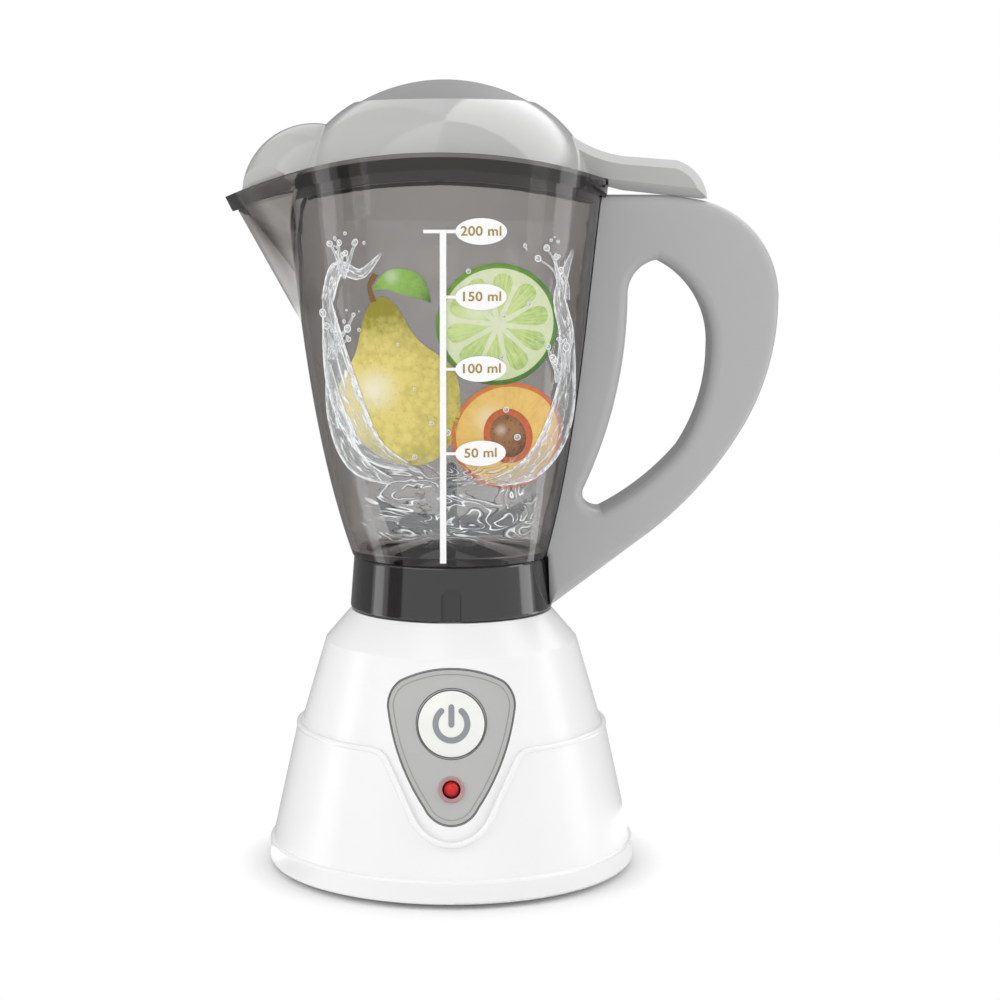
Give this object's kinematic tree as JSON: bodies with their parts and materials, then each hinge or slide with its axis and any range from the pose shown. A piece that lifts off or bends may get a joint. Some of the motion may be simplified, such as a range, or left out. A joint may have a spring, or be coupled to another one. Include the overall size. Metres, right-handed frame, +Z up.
{
  "type": "toy blender",
  "caption": "Toy blender: round battery base with a push button and gear drive, lift-off clear jug with spout, handle and blades, and a lift-off domed lid.",
  "frame": {"origin": "centre of the ring of feet, on the surface that they stand on", "axes": "+Z up along the drive shaft, +X towards the handle, -X towards the spout, -Y towards the front with the button"},
  "size_m": [0.1331, 0.09, 0.1916],
  "materials": {
    "white_shell": "glossy",
    "white_plate": "satin",
    "screw_steel": "zinc plated",
    "foot_rubber": "matte",
    "cell_jacket": "glossy",
    "contact_metal": "nickel plated",
    "panel_grey": "glossy",
    "button_white": "glossy",
    "switch_black": "satin",
    "lamp_red": "clear red",
    "lamp_ring_grey": "satin",
    "board_green": "satin",
    "motor_metal": "nickel plated",
    "shaft_steel": "ground",
    "bush_brass": "sintered",
    "carrier_grey": "satin",
    "gear_white": "satin",
    "coupling_grey": "satin",
    "jug_smoke": "clear, smoky",
    "collar_dark": "glossy",
    "seal_rubber": "matte",
    "film_clear": "printed, clear",
    "blade_grey": "satin",
    "handle_grey": "satin",
    "lid_grey": "glossy",
    "skirt_dark": "satin",
    "cap_grey": "glossy"
  },
  "bodies": {
    "base": {"lower_shell": "white_shell", "upper_shell": "white_shell", "base_plate": "white_plate", "battery_door": "white_plate", "battery_door_screw": "screw_steel", "base_screws": "screw_steel", "foot_front_right": "foot_rubber", "foot_back_right": "foot_rubber", "foot_back_left": "foot_rubber", "foot_front_left": "foot_rubber", "battery_cell_1": "cell_jacket", "battery_cell_2": "cell_jacket", "contact_right": "contact_metal", "contact_left": "contact_metal", "control_panel": "panel_grey", "tact_switch": "switch_black", "indicator_lamp": "lamp_red", "lamp_ring": "lamp_ring_grey", "circuit_board": "board_green", "board_screws": "screw_steel", "motor_can": "motor_metal", "motor_end_cap": "switch_black", "gear_carrier": "carrier_grey", "carrier_screws": "screw_steel", "shaft_bushes": "bush_brass"},
    "button": {"power_button": "button_white", "switch_plunger": "switch_black"},
    "rotor": {"motor_shaft": "shaft_steel", "motor_pinion": "bush_brass"},
    "drive": {"drive_shaft": "shaft_steel", "drive_gear": "gear_white", "drive_coupling": "coupling_grey"},
    "jug": {"jug_body": "jug_smoke", "jug_collar": "collar_dark", "jug_floor": "collar_dark", "floor_seal": "seal_rubber", "blade_bush": "bush_brass", "picture_film": "film_clear", "handle_front": "handle_grey", "handle_back": "handle_grey", "handle_screws": "screw_steel"},
    "blade_unit": {"blade": "blade_grey", "blade_shaft": "shaft_steel", "driven_coupling": "coupling_grey"},
    "lid": {"lid_shell": "lid_grey", "lid_skirt": "skirt_dark", "lid_cap": "cap_grey"}
  },
  "joints": [
    {"name": "jug_lift", "type": "slide", "parent": "base", "child": "jug", "axis": [0, 0, 1], "range_m": [0, 0.03]},
    {"name": "lid_lift", "type": "slide", "parent": "jug", "child": "lid", "axis": [0, 0, 1], "range_m": [0, 0.025]},
    {"name": "button_press", "type": "slide", "parent": "base", "child": "button", "axis": [0, 0.9659, -0.2588], "range_m": [0, 0.0012], "stiffness_N_per_m": 900},
    {"name": "drive_spin", "type": "hinge", "parent": "base", "child": "drive", "pos_m": [0, 0, 0.06], "axis": [0, 0, 1], "continuous": true},
    {"name": "motor_spin", "type": "hinge", "parent": "base", "child": "rotor", "pos_m": [0, 0.016, 0.05], "axis": [0, 0, 1], "continuous": true},
    {"name": "blade_spin", "type": "hinge", "parent": "jug", "child": "blade_unit", "pos_m": [0, 0, 0.08], "axis": [0, 0, 1], "continuous": true}
  ],
  "couplings": [
    {"joint": "motor_spin", "follows": "drive_spin", "ratio": -3},
    {"joint": "blade_spin", "follows": "drive_spin", "ratio": 1}
  ]
}
